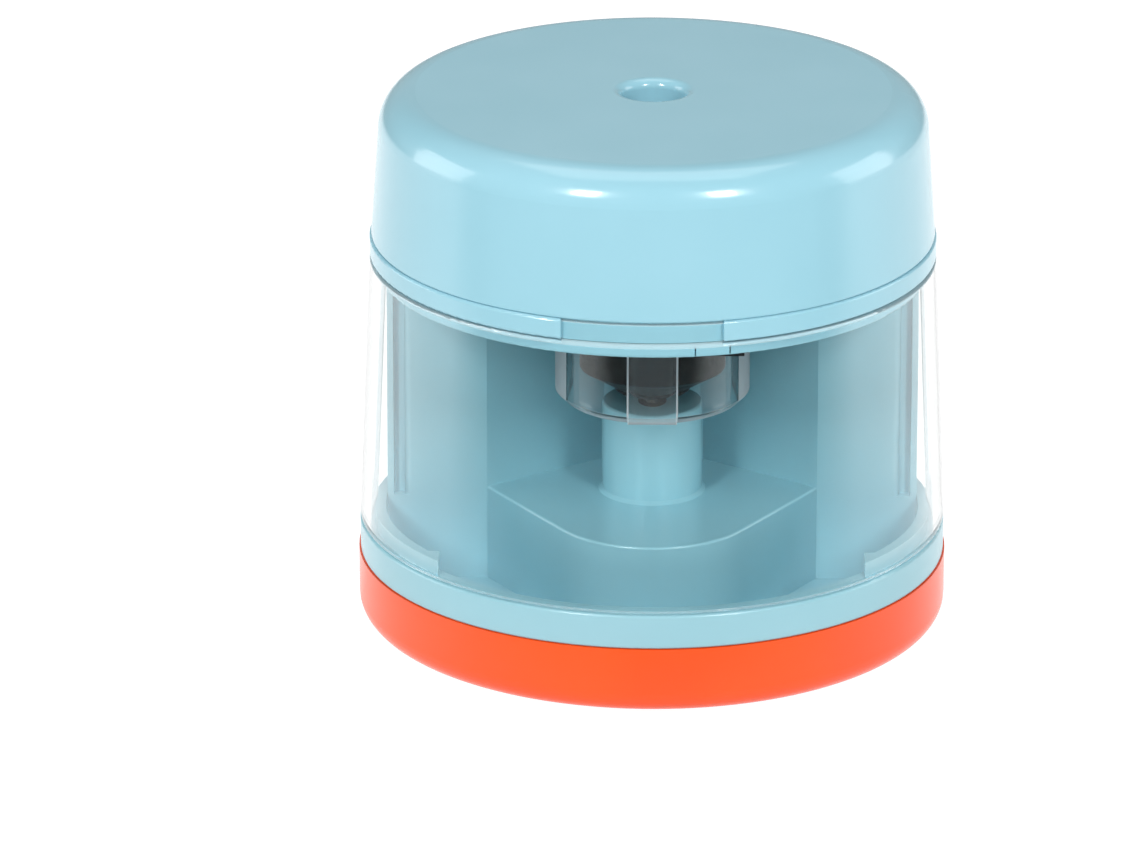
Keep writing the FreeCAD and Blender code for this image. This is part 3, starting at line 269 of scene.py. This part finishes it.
def blackenedCutter(name):
    # black cutter holder, turned: dark satin with fine rings round its axis and a little graphite dust
    look = dict(colour="#262323", dust="#3E3A39", smooth=0.3, dull=0.46, ring=0.22, ringDepth=0.003,
                ringStretch=(40, 40, 1), dullFrom=0.3, dullTo=0.7, clump=2.2, dustMost=0.8, dustFrom=0.5,
                dustTo=0.75)
    material, tree, place = startMaterial(name)
    rings = noiseAt(tree, place, look["ring"], detail=2, stretch=look["ringStretch"])
    clumps = noiseAt(tree, place, look["clump"], detail=6, roughness=0.6)
    dusty = rampBetween(tree, clumps, 0, look["dustMost"], look["dustFrom"], look["dustTo"])
    colour = mixColours(tree, dusty, look["colour"], look["dust"])
    rough = rampBetween(tree, rings, look["smooth"], look["dull"], look["dullFrom"], look["dullTo"])
    finishShader(tree, {"IOR": 1.5, "Specular IOR Level": 0.3}, colour, rough,
                 bumped(tree, rings, look["ringDepth"]))
    return material


# Materials: rubber, ferrite and the cells

grittyLooks = {
    # two tones, grain size and depth in mm
    # die-cut rubber: matt, almost black, with a fine cellular grain
    "rubberPad": dict(dark="#242423", light="#323231", grain=0.3, depth=0.03, rough=0.85, ior=1.52),
    # sintered ferrite: dark grey, matt, with a gritty pressed grain
    "sinteredFerrite": dict(dark="#343436", light="#47474A", grain=0.25, depth=0.02, rough=0.7, ior=1.6),
}


def grittyMatt(name):
    # a matt body whose grain shows as specks of two close tones and as relief
    look = grittyLooks[name]
    material, tree, place = startMaterial(name)
    grain = noiseAt(tree, place, look["grain"], detail=4, roughness=0.7)
    colour = mixColours(tree, grain, look["dark"], look["light"])
    finishShader(tree, {"IOR": look["ior"], "Roughness": look["rough"]}, colour,
                 relief=bumped(tree, grain, look["depth"]))
    return material


def cellSleeve(name):
    # shrink sleeve on a steel can: glossy graphite sleeve, a band near each end, bare bright steel beyond
    # it; the ends are measured in mm from the tips
    look = dict(sleeve="#2B3036", band="#B98B3C", steel="#C6C8CA", bare=2.2, bareEdge=0.05, banded=11.0,
                bandEdge=0.1, crease=3, creaseDepth=0.006, creaseStretch=(1, 1, 6), smooth=0.2, dull=0.34)
    material, tree, place = startMaterial(name)
    low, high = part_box("aa_cells")
    middle = (low[2] + high[2]) / 2
    half = high[2] - middle
    height = addNode(tree, "ShaderNodeSeparateXYZ", Vector=place).outputs["Z"]
    fromMiddle = calculated(tree, "SUBTRACT", height, amounts=(middle,))
    spread = calculated(tree, "ABSOLUTE", fromMiddle)

    def beyond(end, edge):
        return rampBetween(tree, spread, 0, 1, half - (end + edge) * mm, half - end * mm)

    bare = beyond(look["bare"], look["bareEdge"])
    band = beyond(look["banded"], look["bandEdge"])
    colour = addNode(tree, "ShaderNodeMix", {"data_type": "RGBA"})
    colour.inputs[7].default_value = linearColour(look["steel"])
    tree.links.new(mixColours(tree, band, look["sleeve"], look["band"]), colour.inputs[6])
    tree.links.new(bare, colour.inputs[0])
    crease = noiseAt(tree, place, look["crease"], detail=2, stretch=look["creaseStretch"])
    rough = rampBetween(tree, crease, look["smooth"], look["dull"])
    finishShader(tree, {"IOR": 1.5, "Coat Weight": 0.3, "Coat Roughness": 0.1}, colour.outputs[2], rough,
                 bumped(tree, crease, look["creaseDepth"]), bare)
    return material


# Which nodes wear which finish

finishes = {
    "glossAbsBlue": ["top_cap", "upper_deck", "interlock_button"],
    "bodyAbsBlue": ["lower_body"],
    "glossAbsOrange": ["base", "battery_door"],
    "blackMouldedAbs": ["cover_switch", "switch_block"],
    "naturalAbs": ["gear_plate", "contact_holder", "motor_clamp"],
    "whiteAcetal": ["output_gear", "idler_gear", "motor_pinion", "thrust_cup"],
    "nylonCap": ["motor_end_cap"],
    "groundSteel": ["blade", "drive_shaft", "idler_axle", "motor_shaft"],
    "zincPlatedSteel": ["blade_screw", "base_screws", "deck_screws", "gear_plate_screws",
                        "motor_clamp_screws", "motor_can"],
    "sinteredBronze": ["column_bush"],
    "rolledBronze": ["start_switch_leaves", "top_contact_strip", "motor_terminals"],
    "nickelPlatedSpring": ["return_spring", "door_contacts"],
    "laminatedIron": ["motor_rotor"],
    "clearCover": ["clear_cover"],
    "clearGuard": ["cutter_guard"],
    "blackenedCutter": ["cutter_head"],
    "rubberPad": ["front_feet", "door_feet"],
    "sinteredFerrite": ["motor_magnets"],
    "cellSleeve": ["aa_cells"],
}

makers = {"blackenedCutter": blackenedCutter, "cellSleeve": cellSleeve}
makers.update(dict.fromkeys(mouldedLooks, mouldedPlastic))
makers.update(dict.fromkeys(clearLooks, clearStyrene))
makers.update(dict.fromkeys(metalLooks, plainMetal))
makers.update(dict.fromkeys(grittyLooks, grittyMatt))


def dressNodes():
    for finish, names in finishes.items():
        material = makers[finish](finish)
        for name in names:
            for slot in nodes[name].material_slots:
                slot.material = material
    print("dressed", sum(len(names) for names in finishes.values()), "nodes in", len(finishes), "finishes")


# Surroundings: floor, light and camera

floorLook = dict(
    # metres
    half=1.6, front=-2.4, back=1.2, curve=0.35, height=1.5, curveSteps=24,
    # paper tones and the size in mm of their drift
    colour="#F4F4F3", deep="#F1F1F0", drift=60,
    # how far the paper is washed white by its own glow, where it isn't lighting the object
    glow=1.25, washed=0.8,
    # where the object mirrors the paper, the paper is painted dark grey in front, a painted dark reflection,
    # and glows less behind, a painted dimmer reflection, by Y in metres
    paintedDarkReflection="#2A2A2A", paintedDarkNear=-0.03, paintedDarkFar=-0.08, paintedDimNear=0.4, paintedDimFar=0.8)


def studioPaper():
    # white studio paper: matt, with a slow drift of tone; where the object mirrors it, painted dark in front
    # and dimmer behind
    material, tree, place = startMaterial("studioPaper")
    tone = mixColours(tree, noiseAt(tree, place, floorLook["drift"]), floorLook["colour"], floorLook["deep"])
    path = addNode(tree, "ShaderNodeLightPath").outputs
    mirrored = calculated(tree, "MINIMUM", path["Glossy Depth"], amounts=(1.0,))
    along = addNode(tree, "ShaderNodeSeparateXYZ", Vector=place).outputs["Y"]
    ahead = rampBetween(tree, along, 1, 0, floorLook["paintedDarkFar"], floorLook["paintedDarkNear"])
    behind = rampBetween(tree, along, 0, 1, floorLook["paintedDimNear"], floorLook["paintedDimFar"])
    # in mirrored views the paper in front is painted dark grey, a painted dark reflection, and behind it
    # glows less, a painted dimmer reflection
    paintedDarkShare = calculated(tree, "MULTIPLY", mirrored, ahead)
    paintedDimShare = calculated(tree, "MULTIPLY", mirrored, behind)
    straight = rampBetween(tree, path["Is Diffuse Ray"], floorLook["washed"], 0)
    share = calculated(tree, "SUBTRACT", straight, paintedDimShare, clamp=True)
    paper = addNode(tree, "ShaderNodeBsdfPrincipled", {"Roughness": 0.75})
    tree.links.new(tone, paper.inputs["Base Color"])
    glow = addNode(tree, "ShaderNodeEmission", {"Strength": floorLook["glow"]})
    # the dark grey painted on the paper where the object mirrors it in front: a painted dark reflection
    paintedDarkReflection = addNode(tree, "ShaderNodeBsdfDiffuse", {"Color": linearColour(floorLook["paintedDarkReflection"])})
    washed = addNode(tree, "ShaderNodeMixShader", i0=share, i1=paper.outputs[0], i2=glow.outputs[0])
    whole = addNode(tree, "ShaderNodeMixShader", i0=paintedDarkShare, i1=washed.outputs[0], i2=paintedDarkReflection.outputs[0])
    addNode(tree, "ShaderNodeOutputMaterial", Surface=whole.outputs[0])
    return material


def makeFloor():
    # a floor that curves up behind the object: straight, a quarter circle, then straight up
    half, back, curve = floorLook["half"], floorLook["back"], floorLook["curve"]
    turn = np.linspace(0, math.pi / 2, floorLook["curveSteps"])
    along = np.concatenate([[floorLook["front"]], back + curve * np.sin(turn), [back + curve]])
    up = np.concatenate([[0.0], curve * (1 - np.cos(turn)), [floorLook["height"]]])
    across = np.array([-half, half])
    grid = np.stack(np.broadcast_arrays(across[None, :], along[:, None], up[:, None]), axis=-1).reshape(-1, 3)
    row = np.arange(len(along) - 1) * 2
    faces = np.stack([row, row + 1, row + 3, row + 2], axis=1)
    mesh = bpy.data.meshes.new("studioFloor")
    mesh.from_pydata(grid.tolist(), [], faces.tolist())
    mesh.polygons.foreach_set("use_smooth", np.ones(len(faces), bool))
    mesh.materials.append(studioPaper())
    floor = bpy.data.objects.new("studioFloor", mesh)
    bpy.context.scene.collection.objects.link(floor)


lamps = {
    # place in metres, size across and up in metres, watts; all are white and aimed at lampTarget
    "softboxLeft": dict(at=(-0.41, -0.73, 0.57), wide=0.16, tall=0.26, power=4.4),
    "softboxRight": dict(at=(0.42, -0.72, 0.56), wide=0.16, tall=0.26, power=4.2),
    "topPanel": dict(at=(0.0, 0.15, 1.1), wide=0.9, tall=0.7, power=3.0),
    "sideLeft": dict(at=(-0.85, 0.12, 0.25), wide=0.5, tall=0.5, power=2.2),
    "sideRight": dict(at=(0.85, 0.12, 0.25), wide=0.5, tall=0.5, power=2.0),
}
lampTarget = (0, 0, 0.04)

# the room's own light, where it lights the object and where it is mirrored in it
roomLight = dict(lit=0.1, mirrored=0.3)


def aimAt(thing, target):
    thing.rotation_euler = (Vector(target) - thing.location).to_track_quat("-Z", "Y").to_euler()


def makeLamps():
    for name, lamp in lamps.items():
        data = bpy.data.lights.new(name, "AREA")
        data.shape = "RECTANGLE"
        data.size = lamp["wide"]
        data.size_y = lamp["tall"]
        data.energy = lamp["power"]
        thing = bpy.data.objects.new(name, data)
        thing.location = lamp["at"]
        aimAt(thing, lampTarget)
        bpy.context.scene.collection.objects.link(thing)


def makeRoom():
    world = bpy.data.worlds.new("studioWorld")
    bpy.context.scene.world = world
    world.use_nodes = True
    tree = world.node_tree
    background = tree.nodes["Background"]
    background.inputs["Color"].default_value = linearColour("#FFFFFF")
    mirrored = addNode(tree, "ShaderNodeLightPath").outputs["Is Glossy Ray"]
    tree.links.new(rampBetween(tree, mirrored, roomLight["lit"], roomLight["mirrored"]),
                   background.inputs["Strength"])


# elevation in degrees, lens and sensor in mm, the rest in metres: the camera looks past the target by
# right and up
cameraLook = dict(elevation=19.8, distance=1.007, targetHeight=0.037, focal=234.5, sensor=36.0, right=0.01115,
                  up=0.00992)


def makeCamera():
    data = bpy.data.cameras.new("camera")
    data.lens = cameraLook["focal"]
    data.sensor_width = cameraLook["sensor"]
    camera = bpy.data.objects.new("camera", data)
    lift = math.radians(cameraLook["elevation"])
    upward = Vector((0, math.sin(lift), math.cos(lift)))
    target = Vector((0, 0, cameraLook["targetHeight"]))
    camera.location = target + cameraLook["distance"] * Vector((0, -math.cos(lift), math.sin(lift)))
    aimAt(camera, target - Vector((cameraLook["right"], 0, 0)) - cameraLook["up"] * upward)
    bpy.context.scene.collection.objects.link(camera)
    bpy.context.scene.camera = camera


dressNodes()
makeFloor()
makeLamps()
makeRoom()
makeCamera()
bpy.context.scene.view_settings.view_transform = "Standard"
print("floor, lamps and camera ready")
